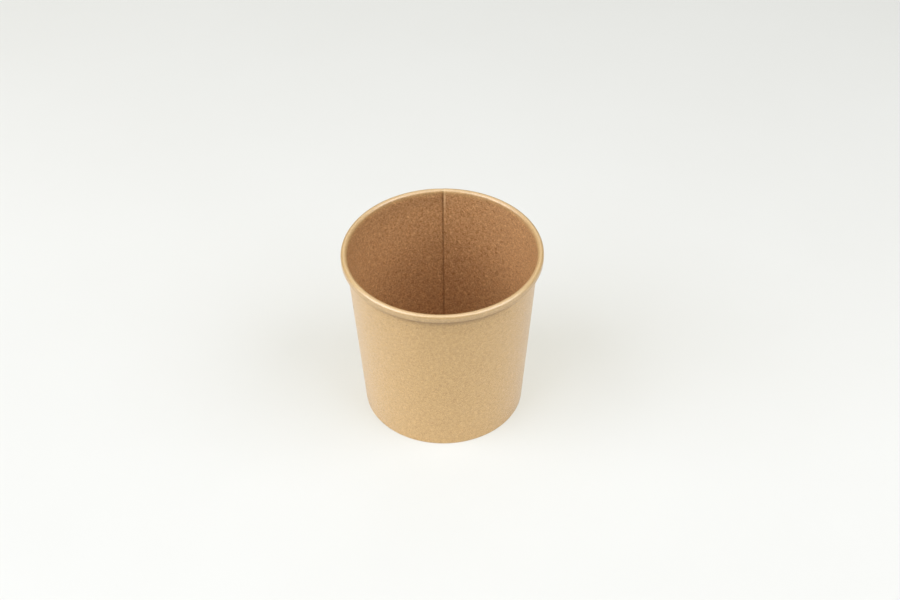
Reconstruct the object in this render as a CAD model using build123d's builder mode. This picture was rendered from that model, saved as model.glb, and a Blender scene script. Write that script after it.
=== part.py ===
"""Paper soup container: a lapped side wall with a rolled rim, and a recessed base disc.

Millimetres, +Z up. The origin is on the axis, on the surface that the container stands on.
The side seam is at the back, on the +Y side.
"""

import os
from math import cos, hypot, sin

from build123d import *

# Overall sizes
rim_diameter = 90.0  # across the rolled rim
foot_diameter = 73.0  # across the outside of the wall at the foot
height = 85.0  # from the table to the top of the rim

# Boards
wall_board = 0.45  # thickness of the side blank
base_board = 0.40  # thickness of the base blank

# Rolled rim
rim_width = 2.6  # from the inner side of the roll to its outer side
rim_height = 3.7  # from the top of the roll to its underside
rim_tuck = 0.7  # straight length of the cut edge that turns up inside the roll
rim_clearance = 0.1  # between the tucked edge and the wall
rim_flat = 0.08  # flat left between the two bends at the top of the roll, and at its underside

# Base and hem
base_recess = 8.0  # from the table to the underside of the base
base_bend = 0.5  # inside radius between the base and its skirt
skirt_clearance = 0.15  # between the skirt's cut edge and the fold of the hem
hem_clearance = 0.7  # between the hem's cut edge and the bend of the base
seal_gap = 0.02  # film between two sealed faces

# Side seam
lap_width = 8.0  # overlap of the two ends of the side blank
lap_run_in = 4.0  # length over which the outer end climbs onto the inner one

rim_radius = rim_diameter / 2
foot_radius = foot_diameter / 2
mouth_radius = rim_radius - rim_width

# The wall leans outwards by this much for each millimetre of height
taper = (mouth_radius + wall_board - foot_radius) / height
slant = hypot(1, taper)
wall_run = wall_board * slant  # thickness of the leaning wall, measured level
skirt_slot = (base_board + 2 * seal_gap) * slant  # room for the skirt, measured level


def wall_inside(z):
    """Radius of the wall's inner face at a height."""
    return mouth_radius - taper * (height - z)


def wall_outside(z):
    """Radius of the wall's outer face at a height."""
    return wall_inside(z) + wall_run


def around(radius, arc_length):
    """Point on a circle, an arc length to the left of the seam as seen from the front."""
    turn = arc_length / radius
    return (-radius * sin(turn), radius * cos(turn))


# The base is a shallow pan, and its skirt hangs between the wall and the hem
base_top = base_recess + base_board
skirt_bottom = wall_board + skirt_clearance
hem_top = base_recess - base_bend - hem_clearance
fold_bend = skirt_slot / 4

# The roll of the rim goes over and down, and its cut edge turns up beside the wall
rim_bottom = height - rim_height
rim_low_width = rim_radius - wall_outside(rim_bottom) - rim_clearance
rim_top_bend = (rim_width - rim_flat) / (1 + slant - taper)
rim_low_bend = (rim_low_width - rim_flat) / (1 + slant + taper)
tuck_end = rim_bottom + rim_low_bend * (1 + taper / slant) + rim_tuck


def wall_line(depth):
    """Line through the side blank at a depth under its inner face, from the hem to the rim's tucked edge."""
    step = depth * slant
    fold = wall_board - depth
    roll_top = height - depth
    roll_bottom = rim_bottom + depth
    return FilletPolyline(
        (wall_inside(hem_top) - skirt_slot - step, hem_top),
        (wall_inside(fold) - skirt_slot - step, fold),
        (wall_inside(fold) + step, fold),
        (wall_inside(roll_top) + step, roll_top),
        (rim_radius - depth, roll_top),
        (rim_radius - depth, roll_bottom),
        (wall_outside(roll_bottom) + rim_clearance + step, roll_bottom),
        (wall_outside(tuck_end) + rim_clearance + step, tuck_end),
        radius=[fold_bend + depth] * 2 + [rim_top_bend - depth] * 2 + [rim_low_bend - depth] * 2,
    )


def base_line(depth):
    """Line through the base blank at a depth under its upper face, from the axis to the skirt's edge."""
    step = (seal_gap + depth) * slant
    top = base_top - depth
    return FilletPolyline(
        (0, top),
        (wall_inside(top) - step, top),
        (wall_inside(skirt_bottom) - step, skirt_bottom),
        radius=[base_bend + base_board - depth],
    )


with BuildPart() as side_wall:
    with BuildSketch(Plane.XZ):
        with BuildLine():
            inner_face = wall_line(0)
            outer_face = wall_line(wall_board)
            Line(inner_face @ 0, outer_face @ 0)
            Line(inner_face @ 1, outer_face @ 1)
        make_face()
    revolve(axis=Axis.Z)

    # The outer end of the blank climbs onto the inner end and is sealed to it
    for level in (wall_board + fold_bend, rim_bottom):
        face = wall_outside(level)
        bed = face - wall_run / 2
        with BuildSketch(Plane.XY.offset(level)):
            with BuildLine():
                climb = Line(around(face, lap_run_in), (0, face + wall_run))
                lap = RadiusArc(climb @ 1, around(face + wall_run, -lap_width), face + wall_run)
                edge = Line(lap @ 1, around(bed, -lap_width))
                root = RadiusArc(edge @ 1, around(bed, lap_run_in), -bed)
                Line(root @ 1, climb @ 0)
            make_face()
    loft(ruled=True)

    # Inside, the cut edge of the inner end stands proud, and the roll presses it flat under the rim
    for level in (base_top, rim_bottom - wall_board):
        face = wall_inside(level)
        with BuildSketch(Plane.XY.offset(level)):
            with BuildLine():
                Polyline(
                    (0, face - wall_run),
                    (0, face + wall_run),
                    around(face, lap_run_in),
                    around(face - wall_run, lap_run_in),
                    close=True,
                )
            make_face()
    loft(ruled=True, mode=Mode.SUBTRACT)
side_wall.part.label = "side_wall"

with BuildPart() as base_disc:
    with BuildSketch(Plane.XZ):
        with BuildLine():
            upper_face = base_line(0)
            lower_face = base_line(base_board)
            Line(upper_face @ 0, lower_face @ 0)
            Line(upper_face @ 1, lower_face @ 1)
        make_face()
    revolve(axis=Axis.Z)
base_disc.part.label = "base_disc"

os.makedirs("parts", exist_ok=True)
export_step(side_wall.part, "parts/side_wall.step")
export_step(base_disc.part, "parts/base_disc.step")
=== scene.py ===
from functools import reduce
from math import cos, hypot, radians, sin, tau

import bmesh
import bpy
from mathutils import Matrix, Vector, noise


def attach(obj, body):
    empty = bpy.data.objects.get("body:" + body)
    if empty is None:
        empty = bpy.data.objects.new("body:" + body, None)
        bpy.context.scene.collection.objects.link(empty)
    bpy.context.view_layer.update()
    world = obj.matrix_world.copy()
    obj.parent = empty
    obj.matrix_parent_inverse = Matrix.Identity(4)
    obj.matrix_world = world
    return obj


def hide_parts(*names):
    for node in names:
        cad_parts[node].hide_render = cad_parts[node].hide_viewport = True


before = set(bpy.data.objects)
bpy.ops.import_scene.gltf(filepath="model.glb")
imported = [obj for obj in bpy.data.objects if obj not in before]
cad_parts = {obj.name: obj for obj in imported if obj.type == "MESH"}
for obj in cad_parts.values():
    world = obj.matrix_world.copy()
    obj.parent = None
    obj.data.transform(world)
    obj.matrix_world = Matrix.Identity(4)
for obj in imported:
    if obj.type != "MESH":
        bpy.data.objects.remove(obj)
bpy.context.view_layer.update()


# Side wall
# A fan-shaped blank of film-lined kraft board, wound into a cone and sealed in a lap at the back.
# Its top edge is rolled outwards into the rim, and its bottom edge is folded in and up into the hem.

rim_radius = 0.045
foot_radius = 0.0365
height = 0.085
wall_board = 0.00045
base_board = 0.0004
rim_width = 0.0026
rim_height = 0.0037
rim_flat = 0.00008
rim_tuck = 0.0007
rim_clearance = 0.0001
hem_top = 0.0068
seal_gap = 0.00002
lap_tuck = 0.0002
same_place = 1e-6

mouth_radius = rim_radius - rim_width
taper = (mouth_radius + wall_board - foot_radius) / height
slant = hypot(1, taper)
skirt_slot = (base_board + 2 * seal_gap) * slant


def wall_inside(z):
    """Radius of the wall's inner face at a height."""
    return mouth_radius - taper * (height - z)


def wall_outside(z):
    """Radius of the wall's outer face at a height."""
    return wall_inside(z) + wall_board * slant


def ease(share):
    """0 below 0, 1 above 1, and a smooth rise between them."""
    share = min(max(share, 0), 1)
    return share * share * (3 - 2 * share)


def board_line(bm, points, bends):
    """Draws the line of a board's film face in section, behind the axis, and rounds its corners.
    Each bend is a corner's number and the length that the bend takes of the runs beside it."""
    line = [bm.verts.new((0, radius, z)) for radius, z in points]
    for ends in zip(line, line[1:]):
        bm.edges.new(ends)
    for corner, tangent in bends:
        bmesh.ops.bevel(
            bm, geom=[line[corner]], offset=tangent, offset_type="OFFSET", segments=8, profile=0.5,
            affect="VERTICES", material=-1,
        )


def divide_long_run(bm, cuts):
    """Divides the longest straight run of a section line."""
    longest = max(bm.edges, key=lambda edge: edge.calc_length())
    bmesh.ops.subdivide_edges(bm, edges=[longest], cuts=cuts)


def measure(start, along):
    """Writes on each vertex of a line how far along the board it is."""
    here = start
    edge = start.link_edges[0]
    while edge:
        there = edge.other_vert(here)
        there[along] = here[along] + edge.calc_length()
        edge = next((other for other in there.link_edges if other != edge), None)
        here = there


def wind(bm, line, angle, steps, merge):
    """Winds a section line round the container's axis, clockwise as seen from above."""
    return bmesh.ops.spin(
        bm, geom=line, axis=(0, 0, 1), cent=(0, 0, 0), angle=-angle, steps=steps, use_merge=merge,
    )


fold_bend = skirt_slot / 4
rim_bottom = height - rim_height
rim_low_width = rim_radius - wall_outside(rim_bottom) - rim_clearance
rim_top_bend = (rim_width - rim_flat) / (1 + slant - taper)
rim_low_bend = (rim_low_width - rim_flat) / (1 + slant + taper)
tuck_end = rim_bottom + rim_low_bend * (1 + taper / slant) + rim_tuck
lap_bottom = wall_board + 2 * fold_bend
lap_top = rim_bottom + lap_tuck

blank = bmesh.new()
along = blank.verts.layers.float.new("along")
turn = blank.verts.layers.float.new("turn")
board_map = blank.loops.layers.uv.new("board")
board_line(
    blank,
    [
        (wall_inside(hem_top) - skirt_slot, hem_top),
        (wall_inside(wall_board) - skirt_slot, wall_board),
        (wall_inside(wall_board), wall_board),
        (wall_inside(lap_bottom), lap_bottom),
        (wall_inside(lap_top), lap_top),
        (mouth_radius, height),
        (rim_radius, height),
        (rim_radius, rim_bottom),
        (wall_outside(rim_bottom) + rim_clearance, rim_bottom),
        (wall_outside(tuck_end) + rim_clearance, tuck_end),
    ],
    [
        (1, fold_bend * (slant + taper)),
        (2, fold_bend * (slant - taper)),
        (5, rim_top_bend * (slant - taper)),
        (6, rim_top_bend),
        (7, rim_low_bend),
        (8, rim_low_bend * (slant + taper)),
    ],
)
divide_long_run(blank, cuts=27)
hem_edge = min((v for v in blank.verts if len(v.link_edges) == 1), key=lambda v: v.co.z)
measure(hem_edge, along)
lap_start, lap_end = (
    min(blank.verts, key=lambda v: (v.co - Vector((0, wall_inside(z), z))).length)[along]
    for z in (lap_bottom, lap_top)
)

# The blank goes once round from the seam, and its ends stay apart
turn_steps = 240
line_size = len(blank.verts)
wound = wind(blank, blank.verts[:] + blank.edges[:], tau, turn_steps, merge=False)
blank.verts.index_update()
for v in blank.verts:
    v[turn] = v.index // line_size * tau / turn_steps

# The wall then goes on past the seam as the outer half of the lap
lap_turn = 0.2
lap_steps = 8
lap_verts = [
    v for v in wound["geom_last"]
    if isinstance(v, bmesh.types.BMVert) and lap_start - same_place < v[along] < lap_end + same_place
]
lap_edges = [
    edge for edge in wound["geom_last"]
    if isinstance(edge, bmesh.types.BMEdge) and all(v in lap_verts for v in edge.verts)
]
lap_first = len(blank.verts)
wind(blank, lap_verts + lap_edges, lap_turn, lap_steps, merge=False)
blank.verts.ensure_lookup_table()
blank.verts.index_update()
for v in blank.verts[lap_first:]:
    v[turn] = tau + ((v.index - lap_first) // len(lap_verts) + 1) * lap_turn / lap_steps
bmesh.ops.recalc_face_normals(blank, faces=blank.faces[:])

# At the seam the outer end climbs by the board's thickness, and the inner end lifts a little off it.
# The roll of the rim presses the step flat again.
lap_run_in = 0.005
lap_gap = 0.00006
lift = 0.00010
lift_run = 0.0025
lift_low = 0.012
lift_high = rim_bottom
rim_press = 0.85
press_start = lap_end + 0.001
press_run = 0.004
blank.normal_update()
for v in blank.verts:
    radius = hypot(v.co.x, v.co.y)
    climb = ease(1 - (tau - v[turn]) * radius / lap_run_in)
    climb *= 1 - rim_press * ease((v[along] - press_start) / press_run)
    climb *= ease((v[along] - lap_start) / fold_bend + 1)
    rise = ease(1 - v[turn] * radius / lift_run)
    rise *= ease((v.co.z - lift_low) / lift_run) * ease((lift_high - v.co.z) / lift_run)
    v.co += v.normal * (rise * lift - climb * (wall_board + lap_gap))

# No cup is quite round: the wall swings in and out a little towards the mouth.
# Each swing is its number of waves round the cup, where they start and their share.
sway = 0.00006
swings = [(2, 0.6, 1), (3, 2.1, 0.7), (5, 4.0, 0.4)]
for v in blank.verts:
    swing = sum(share * sin(waves * v[turn] + start) for waves, start, share in swings)
    swing *= sway * (v.co.z / height) ** 2
    v.co.xy *= 1 + swing / hypot(v.co.x, v.co.y)

middle_radius = wall_inside(height / 2)
for face in blank.faces:
    for loop in face.loops:
        loop[board_map].uv = (loop.vert[turn] * middle_radius, loop.vert[along])


def add(tree, kind, inputs=None, **settings):
    """A new node in a tree, with its settings made and its inputs set or linked."""
    node = tree.nodes.new("ShaderNode" + kind)
    for name, value in settings.items():
        setattr(node, name, value)
    for name, value in (inputs or {}).items():
        if isinstance(value, bpy.types.NodeSocket):
            tree.links.new(value, node.inputs[name])
        else:
            node.inputs[name].default_value = value
    return node


def mixed(tree, share, one, other):
    """A colour that goes from one to the other by a share. Each is a socket or three numbers."""
    one, other = (end if isinstance(end, bpy.types.NodeSocket) else (*end, 1) for end in (one, other))
    return add(tree, "Mix", {0: share, 6: one, 7: other}, data_type="RGBA").outputs[2]


def kraft_fibres():
    """Node group of what unbleached board shows: clouds, mottle, pale and dark fibres, specks of bark."""
    group = bpy.data.node_groups.new("kraft fibres", "ShaderNodeTree")
    group.interface.new_socket("Vector", in_out="INPUT", socket_type="NodeSocketVector")
    for name in ("Clouds", "Mottle", "Pale fibres", "Dark fibres", "Specks", "Relief"):
        group.interface.new_socket(name, in_out="OUTPUT", socket_type="NodeSocketFloat")
    given = group.nodes.new("NodeGroupInput").outputs["Vector"]
    made = group.nodes.new("NodeGroupOutput")

    def reckon(operation, *values):
        """Result of a sum on two or three values."""
        return add(group, "Math", dict(enumerate(values)), operation=operation).outputs[0]

    def ramp(value, low, high):
        """Share of the way from low to high."""
        return add(group, "MapRange", {"Value": value, "From Min": low, "From Max": high}).outputs[0]

    def larger(one, other):
        """The larger of two values."""
        return reckon("MAXIMUM", one, other)

    def sheet_noise(place, scale, detail, roughness):
        """Noise across the sheet."""
        inputs = {"Vector": place, "Scale": scale, "Detail": detail, "Roughness": roughness}
        return add(group, "TexNoise", inputs, noise_dimensions="2D").outputs[0]

    # Fibres wander as they lie: the pattern's place is shifted to and fro by a slow noise
    middle = (0.5, 0.5, 0.5)
    wander_reach = (2.4, 2.4, 0)
    millimetres = add(group, "VectorMath", {0: given, "Scale": 1000}, operation="SCALE").outputs[0]
    wander = add(group, "TexNoise", {"Vector": millimetres, "Scale": 0.45, "Detail": 1}).outputs["Color"]
    wander = add(group, "VectorMath", {0: wander, 1: middle}, operation="SUBTRACT").outputs[0]
    bent = add(
        group, "VectorMath", {0: wander, 1: wander_reach, 2: millimetres}, operation="MULTIPLY_ADD",
    ).outputs[0]

    slim = (0.5, 6.0, 1)
    pale_layers = []
    dark_layers = []
    for angle in (12, 57, 101, 149):
        laid = add(
            group, "VectorRotate", {"Vector": bent, "Angle": radians(angle)}, rotation_type="Z_AXIS",
        ).outputs[0]
        drawn = add(
            group, "VectorMath", {0: laid, 1: slim, 2: (angle, 0, 0)}, operation="MULTIPLY_ADD",
        ).outputs[0]
        fibre = sheet_noise(drawn, scale=1.0, detail=1.5, roughness=0.6)
        pale_layers.append(ramp(fibre, low=0.55, high=0.72))
        dark_layers.append(ramp(fibre, low=0.45, high=0.28))
    pale = reduce(larger, pale_layers)
    dark = reduce(larger, dark_layers)

    clouds = sheet_noise(millimetres, scale=0.09, detail=2, roughness=0.5)
    mottle = sheet_noise(millimetres, scale=3.5, detail=2, roughness=0.6)
    cells = add(group, "TexVoronoi", {"Vector": bent, "Scale": 0.16}, voronoi_dimensions="2D")
    chosen = add(group, "SeparateColor", {"Color": cells.outputs["Color"]}).outputs[0]
    dot = ramp(cells.outputs["Distance"], low=0.06, high=0.03)
    speck = reckon("MULTIPLY", dot, ramp(chosen, low=0.90, high=0.92))
    mottle_height = 1.5
    relief = reckon("MULTIPLY_ADD", mottle, mottle_height, reckon("SUBTRACT", pale, dark))
    for name, value in (
        ("Clouds", clouds), ("Mottle", mottle), ("Pale fibres", pale),
        ("Dark fibres", dark), ("Specks", speck), ("Relief", relief),
    ):
        group.links.new(value, made.inputs[name])
    return group


fibres_group = kraft_fibres()


def board_material(name, where, shift, colours, shares, rough, bump, **finish):
    """A face of kraft board, with its pattern on the blank's own map or on the piece's coordinates.
    The shares say how strongly the mottle, the fibres and the specks show in the sheet's two tones."""
    material = bpy.data.materials.new(name)
    material.use_nodes = True
    tree = material.node_tree
    shader = tree.nodes["Principled BSDF"]
    for socket, value in finish.items():
        shader.inputs[socket.replace("_", " ")].default_value = value
    if where == "board":
        place = add(tree, "UVMap", uv_map="board").outputs[0]
    else:
        place = add(tree, "TexCoord").outputs["Object"]
    place = add(tree, "VectorMath", {0: place, 1: shift}, operation="ADD").outputs[0]
    fibres = add(tree, "Group", node_tree=fibres_group)
    tree.links.new(place, fibres.inputs["Vector"])
    mottle = fibres.outputs["Mottle"]

    cloud_share = 0.25
    spread = 0.5 / shares["Mottle"]
    tone = add(
        tree, "MapRange", {"Value": mottle, "From Min": 0.5 - spread, "From Max": 0.5 + spread},
    ).outputs[0]
    tone = add(
        tree, "Mix", {0: cloud_share, 2: tone, 3: fibres.outputs["Clouds"]}, data_type="FLOAT",
    ).outputs[0]
    colour = mixed(tree, tone, colours["Dark tone"], colours["Light tone"])
    for mask in ("Pale fibres", "Dark fibres", "Specks"):
        amount = add(
            tree, "Math", {0: fibres.outputs[mask], 1: shares[mask]}, operation="MULTIPLY",
        ).outputs[0]
        colour = mixed(tree, amount, colour, colours[mask])
    tree.links.new(colour, shader.inputs["Base Color"])

    roughness = add(
        tree, "MapRange",
        {"Value": mottle, "From Min": 0.3, "From Max": 0.7, "To Min": rough[0], "To Max": rough[1]},
    ).outputs[0]
    tree.links.new(roughness, shader.inputs["Roughness"])
    lumps = add(
        tree, "Bump", {"Height": fibres.outputs["Relief"], "Strength": bump, "Distance": 0.00006},
    ).outputs[0]
    tree.links.new(lumps, shader.inputs["Normal"])
    return material


film = {
    "colours": {
        "Dark tone": (0.352, 0.165, 0.054),
        "Light tone": (0.632, 0.343, 0.146),
        "Pale fibres": (0.82, 0.515, 0.265),
        "Dark fibres": (0.19, 0.077, 0.025),
        "Specks": (0.10, 0.045, 0.02),
    },
    "shares": {"Mottle": 4.2, "Pale fibres": 0.82, "Dark fibres": 0.88, "Specks": 0.6},
    "rough": (0.34, 0.44),
    "bump": 0.5,
}
bare = {
    "colours": {
        "Dark tone": (0.44, 0.259, 0.081),
        "Light tone": (0.62, 0.395, 0.148),
        "Pale fibres": (0.72, 0.50, 0.235),
        "Dark fibres": (0.34, 0.186, 0.055),
        "Specks": (0.22, 0.12, 0.05),
    },
    "shares": {"Mottle": 3.2, "Pale fibres": 0.68, "Dark fibres": 0.68, "Specks": 0.4},
    "rough": (0.38, 0.48),
    "bump": 0.35,
    "Sheen_Weight": 0.45,
    "Sheen_Roughness": 0.4,
}
cut = {
    "colours": {
        "Dark tone": (0.52, 0.35, 0.18),
        "Light tone": (0.68, 0.50, 0.29),
        "Pale fibres": (0.76, 0.60, 0.40),
        "Dark fibres": (0.42, 0.26, 0.12),
        "Specks": (0.2, 0.1, 0.05),
    },
    "shares": {"Mottle": 2.5, "Pale fibres": 0.5, "Dark fibres": 0.5, "Specks": 0.3},
    "rough": (0.85, 0.95),
    "bump": 0.6,
}
film_face = board_material("film-coated kraft", "board", (0, 0, 0), **film)
plain_face = board_material("bare kraft", "board", (0.5, 0.3, 0), **bare)
cut_edge = board_material("cut kraft edge", "object", (0.2, 0.1, 0), **cut)


def band(material, axis, start, full, share):
    """Mask across or along a blank's face, which grows from nothing at start to a share at full."""
    tree = material.node_tree
    place = add(tree, "UVMap", uv_map="board").outputs[0]
    place = add(tree, "SeparateXYZ", {0: place}).outputs[axis]
    inputs = {"Value": place, "From Min": start, "From Max": full, "To Max": share}
    return add(tree, "MapRange", inputs).outputs[0]


def stain(material, mask, tint):
    """Tints a board face where a mask says."""
    tree = material.node_tree
    sheet = tree.nodes["Principled BSDF"].inputs["Base Color"]
    stained = mixed(tree, mask, sheet.links[0].from_socket, tint)
    tree.links.new(stained, sheet)


# The seal leaves a dark line on both sides of the seam: partly a real seal mark, partly painted shade of
# the step at the seam
seam_at = tau * middle_radius
seal_shade_left = 0.0008
seal_shade_right = 0.0004
seal_shade_full = 0.0002
seal_shade_tint = (0.15, 0.064, 0.022)
stain(film_face, band(film_face, "X", seam_at - seal_shade_left, seam_at - seal_shade_full, share=0.4), seal_shade_tint)
stain(film_face, band(film_face, "X", seal_shade_right, seal_shade_full, share=0.25), seal_shade_tint)

# A painted highlight lies on the film beside the cut, where the cut edge catches the light, in the upper
# part of the seam below the roll
cut_highlight_low = lap_end - 0.011
cut_highlight_top = lap_end - 0.002
cut_highlight_line = 0.0006
cut_highlight_end = 0.0012
cut_highlight_tint = (0.80, 0.58, 0.34)
cut_highlight = band(film_face, "Y", cut_highlight_low, cut_highlight_top, share=0.6)
cut_highlight = band(film_face, "X", seal_shade_full, cut_highlight_line, share=cut_highlight)
cut_highlight = band(film_face, "X", cut_highlight_end, cut_highlight_line, share=cut_highlight)
stain(film_face, cut_highlight, cut_highlight_tint)

# Painted shade darkens the inside wall left of the seam, just below the roll of the rim
seam_top_shade_low = lap_end - 0.009
seam_top_shade_full = lap_end - 0.0015
seam_top_shade_high = lap_end + 0.001
seam_top_shade_run = 0.06
seam_top_shade = band(film_face, "Y", seam_top_shade_low, seam_top_shade_full, share=0.2)
seam_top_shade = band(film_face, "Y", seam_top_shade_high, seam_top_shade_full, share=seam_top_shade)
seam_top_shade = band(film_face, "X", seam_at - seam_top_shade_run, seam_at - seal_shade_left, share=seam_top_shade)
stain(film_face, seam_top_shade, seal_shade_tint)

# Outside, the cut edge of the lap is pale, and its shade lies on the wall beyond it
lap_edge = lap_turn * middle_radius
edge_line = 0.0005
edge_shade = 0.0008
edge_tint = (0.70, 0.52, 0.30)
shade_tint = (0.22, 0.12, 0.042)
pale_edge = band(plain_face, "X", seam_at + lap_edge - edge_line, seam_at + lap_edge, share=0.5)
stain(plain_face, pale_edge, edge_tint)
shade = band(plain_face, "Y", lap_start - edge_line, lap_start, share=0.6)
shade = band(plain_face, "X", lap_edge + edge_shade, lap_edge, share=shade)
stain(plain_face, shade, shade_tint)

# Painted shade darkens the wall under the rim, where the roll shades it
under_rim_shade_low = lap_end - 0.0042
under_rim_shade_high = lap_end - 0.0016
under_rim_shade_tint = (0.23, 0.125, 0.042)
stain(plain_face, band(plain_face, "Y", under_rim_shade_low, under_rim_shade_high, share=0.62), under_rim_shade_tint)

# The film is rubbed paler on the roll of the rim, and a painted highlight lies over its top
rub_start = lap_end + 0.0002
rub_full = lap_end + 0.0045
rub_tint = (0.455, 0.318, 0.128)
rubbed = band(film_face, "Y", rub_start, rub_full, share=0.62)
stain(film_face, rubbed, rub_tint)
# Painted highlight over the top of the roll
rim_highlight_start = lap_end + 0.0006
rim_highlight_full = lap_end + 0.0046
rim_highlight_end = lap_end + 0.0063
rim_highlight_tint = (0.68, 0.48, 0.235)
rim_highlight = band(film_face, "Y", rim_highlight_start, rim_highlight_full, share=0.38)
rim_highlight = band(film_face, "Y", rim_highlight_end, rim_highlight_full, share=rim_highlight)
stain(film_face, rim_highlight, rim_highlight_tint)

# The rubbing has also smoothed the roll and given it a shine
tree = film_face.node_tree
shader = tree.nodes["Principled BSDF"]
lump_height = shader.inputs["Normal"].links[0].from_node.inputs["Height"]
unrubbed = add(tree, "Math", {0: 1, 1: rubbed}, operation="SUBTRACT").outputs[0]
smoothed = add(
    tree, "Math", {0: lump_height.links[0].from_socket, 1: unrubbed}, operation="MULTIPLY",
).outputs[0]
tree.links.new(smoothed, lump_height)
shine_start = lap_end + 0.0016
shine_full = lap_end + 0.0042
shine_end = lap_end + 0.0085
shine = band(film_face, "Y", shine_start, shine_full, share=1)
shine = band(film_face, "Y", shine_end, shine_full, share=shine)
tree.links.new(shine, shader.inputs["Coat Weight"])
shader.inputs["Coat Roughness"].default_value = 0.3
shader.inputs["Coat IOR"].default_value = 1.95


def board_piece(name, bm, board, materials, node):
    """Makes a board's film face a piece of the container, with the board's thickness behind it.
    The materials are those of its film face, its bare face and its cut edges."""
    mesh = bpy.data.meshes.new(name)
    bm.to_mesh(mesh)
    bm.free()
    piece = bpy.data.objects.new(name, mesh)
    bpy.context.scene.collection.objects.link(piece)
    for material in materials:
        mesh.materials.append(material)
    solid = piece.modifiers.new("board", "SOLIDIFY")
    solid.thickness = board
    solid.offset = -1
    solid.use_even_offset = True
    solid.material_offset = 1
    solid.material_offset_rim = 2
    made = piece.evaluated_get(bpy.context.evaluated_depsgraph_get())
    piece.data = bpy.data.meshes.new_from_object(made)
    piece.modifiers.clear()
    bpy.data.meshes.remove(mesh)
    piece.data.name = name
    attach(piece, "root")
    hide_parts(node)
    return piece


def smooth(piece):
    """Shades a piece smooth, with its cut edges left sharp."""
    piece.data.shade_smooth()
    piece.data.set_sharp_from_angle(angle=radians(40))


wall = board_piece(
    "wall_board", blank, wall_board, [film_face, plain_face, cut_edge], "side_wall",
)

# The knife has rounded the end of the blank that shows inside
cut_round = 0.0002
blank = bmesh.new()
blank.from_mesh(wall.data)
seam_edges = [
    edge for edge in blank.edges
    if {face.material_index for face in edge.link_faces} == {0, 2}
    and all(abs(v.co.x) < same_place and v.co.y > 0 for v in edge.verts)
    and all(lift_low < v.co.z < lift_high for v in edge.verts)
]
rounded = bmesh.ops.bevel(
    blank, geom=seam_edges, offset=cut_round, offset_type="OFFSET", segments=3, profile=0.5,
    affect="EDGES", material=-1,
)
for face in rounded["faces"]:
    face.material_index = 0
blank.to_mesh(wall.data)
blank.free()
smooth(wall)


# Base disc
# A round blank of the same kraft board, drawn into a shallow pan with its film face up.
# Its skirt hangs between the wall and the hem and is sealed to both.

base_recess = 0.008
base_bend = 0.0005
skirt_clearance = 0.00015

base_top = base_recess + base_board
skirt_bottom = wall_board + skirt_clearance
base_edge = wall_inside(base_top) - seal_gap * slant

pan = bmesh.new()
board_line(
    pan,
    [
        (0, base_top),
        (base_edge, base_top),
        (wall_inside(skirt_bottom) - seal_gap * slant, skirt_bottom),
    ],
    [(1, (base_bend + base_board) * (slant - taper))],
)
divide_long_run(pan, cuts=15)
wind(pan, pan.verts[:] + pan.edges[:], tau, steps=180, merge=True)
bmesh.ops.remove_doubles(pan, verts=pan.verts[:], dist=same_place)
bmesh.ops.recalc_face_normals(pan, faces=pan.faces[:])

# The disc is a little crowned and uneven between its edges
base_crown = 0.00025
unevenness = 0.00012
lumps_a_metre = 60
for v in pan.verts:
    inwards = 1 - (hypot(v.co.x, v.co.y) / base_edge) ** 2
    if v.co.z > base_top - same_place:
        v.co.z += inwards * (base_crown + unevenness * noise.noise(v.co * lumps_a_metre))

# Its film is the wall's, with a calmer pattern
calm_shares = {"Mottle": 3.0, "Pale fibres": 0.6, "Dark fibres": 0.64, "Specks": 0.5}
base_film = board_material("film-coated base", "object", (0.3, 0.7, 0), **{**film, "shares": calm_shares})
base_plain = board_material("bare base", "object", (0.1, 0.9, 0), **bare)
base = board_piece(
    "base_board", pan, base_board, [base_film, base_plain, cut_edge], "base_disc",
)
smooth(base)


# Table
# A plain pale table top with a dull skin, which throws light on the container from close by.
# From below it lets the view through, and it is open under the foot, where the container covers it.

table_radius = 4
foot_cover = 0.001
table = bmesh.new()
for radius in (foot_radius - foot_cover, table_radius):
    bmesh.ops.create_circle(table, cap_ends=False, radius=radius, segments=96)
bmesh.ops.bridge_loops(table, edges=table.edges[:])
for face in table.faces:
    if face.normal.z < 0:
        face.normal_flip()
floor_mesh = bpy.data.meshes.new("table")
table.to_mesh(floor_mesh)
table.free()
floor = bpy.data.objects.new("table", floor_mesh)
bpy.context.scene.collection.objects.link(floor)

# Its colour is painted darker away from the container, a painted pool of light, so it throws less light
# from further away
bright_to = 0.2
dull_from = 0.5
bright_tint = (0.86, 0.865, 0.845)
dull_tint = (0.25, 0.253, 0.246)
table_top = bpy.data.materials.new("pale table")
table_top.use_nodes = True
tree = table_top.node_tree
skin = tree.nodes["Principled BSDF"]
place = add(tree, "TexCoord").outputs["Object"]
away = add(tree, "VectorMath", {0: place}, operation="LENGTH").outputs["Value"]
away = add(tree, "MapRange", {"Value": away, "From Min": bright_to, "From Max": dull_from}).outputs[0]
tree.links.new(mixed(tree, away, bright_tint, dull_tint), skin.inputs["Base Color"])

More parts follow.
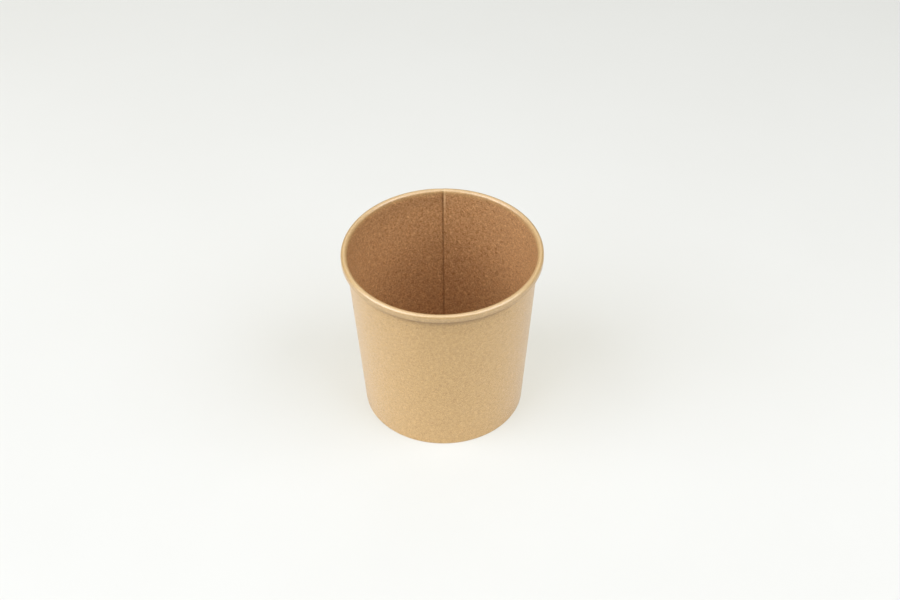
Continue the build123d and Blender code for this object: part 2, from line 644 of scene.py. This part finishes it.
# The camera sees it paler and more evenly than the lights leave it, and dimmer towards the back right
dim_way = (0.35, 1, 0)
dim_from = 0.05
dim_to = 0.45
front_glow = (0.520, 0.496, 0.400)
back_glow = (0.435, 0.418, 0.334)
low_tint = (0.266, 0.286, 0.330)
high_tint = (0.297, 0.319, 0.369)
drift = add(tree, "TexNoise", {"Vector": place, "Scale": 7, "Detail": 5, "Roughness": 0.6}).outputs[0]
pale = mixed(tree, drift, low_tint, high_tint)
back = add(tree, "VectorMath", {0: place, 1: dim_way}, operation="DOT_PRODUCT").outputs["Value"]
back = add(tree, "MapRange", {"Value": back, "From Min": dim_from, "From Max": dim_to}).outputs[0]
glow = mixed(tree, back, front_glow, back_glow)
shown = add(
    tree, "BsdfPrincipled", {"Base Color": pale, "Emission Color": glow, "Emission Strength": 1},
)
for shader in (skin, shown):
    shader.inputs["Roughness"].default_value = 0.75
    shader.inputs["Specular IOR Level"].default_value = 0.2
camera_ray = add(tree, "LightPath").outputs["Is Camera Ray"]
above = add(tree, "MixShader", {0: camera_ray, 1: skin.outputs[0], 2: shown.outputs[0]})
below = add(tree, "NewGeometry").outputs["Backfacing"]
clear = add(tree, "BsdfTransparent")
either = add(tree, "MixShader", {0: below, 1: above.outputs[0], 2: clear.outputs[0]})
tree.links.new(either.outputs[0], tree.nodes["Material Output"].inputs["Surface"])
floor_mesh.materials.append(table_top)


# Light
# Two broad soft lights in front, with a low one at the left, one behind and a small one overhead.
# One more lights the underside through the opening in the table.

world = bpy.data.worlds.new("room")
bpy.context.scene.world = world
world.use_nodes = True
tree = world.node_tree
room = tree.nodes["Background"]
room.inputs["Color"].default_value = (1, 1, 1, 1)
room.inputs["Strength"].default_value = 0.03
seen = add(tree, "Background", {"Color": (*bright_tint, 1), "Strength": 1})
camera_ray = add(tree, "LightPath").outputs["Is Camera Ray"]
either = add(tree, "MixShader", {0: camera_ray, 1: room.outputs[0], 2: seen.outputs[0]})
tree.links.new(either.outputs[0], tree.nodes["World Output"].inputs["Surface"])

light_distance = 1.2


def soft_light(name, bearing, rise, size, power):
    """A square soft light that faces the container. Its bearing is 0 in front and grows to the right."""
    lamp = bpy.data.lights.new(name, "AREA")
    lamp.size = size
    lamp.energy = power
    holder = bpy.data.objects.new(name, lamp)
    bpy.context.scene.collection.objects.link(holder)
    aim = Vector((0, 0, height / 2))
    level = light_distance * cos(radians(rise))
    across = level * sin(radians(bearing))
    forward = level * cos(radians(bearing))
    arm = Vector((across, -forward, light_distance * sin(radians(rise))))
    holder.location = aim + arm
    holder.rotation_euler = (-arm).to_track_quat("-Z", "Y").to_euler()


soft_light("left light", bearing=-62, rise=45, size=1.1, power=14.7)
soft_light("right light", bearing=66, rise=45, size=1.1, power=14.4)
soft_light("low left light", bearing=-80, rise=22, size=0.8, power=3.7)
soft_light("back light", bearing=180, rise=60, size=0.9, power=2.6)
soft_light("top light", bearing=0, rise=76, size=0.4, power=2.1)
soft_light("under light", bearing=0, rise=-55, size=1.1, power=9)

view = bpy.context.scene.view_settings
view.view_transform = "Standard"


# Camera
# It looks down on the container from in front, as the photograph does.

camera_place = (0.00323, -0.61405, 0.59284)
camera_swing = 0.7
camera_dip = 41.1925
camera_roll = -0.5244
focal_length = 72.14

lens = bpy.data.cameras.new("camera")
lens.lens = focal_length
camera = bpy.data.objects.new("camera", lens)
bpy.context.scene.collection.objects.link(camera)
camera.matrix_world = (
    Matrix.Rotation(radians(camera_swing), 4, "Z")
    @ Matrix.Translation(camera_place)
    @ Matrix.Rotation(radians(90 - camera_dip), 4, "X")
    @ Matrix.Rotation(radians(camera_roll), 4, "Z")
)
bpy.context.scene.camera = camera
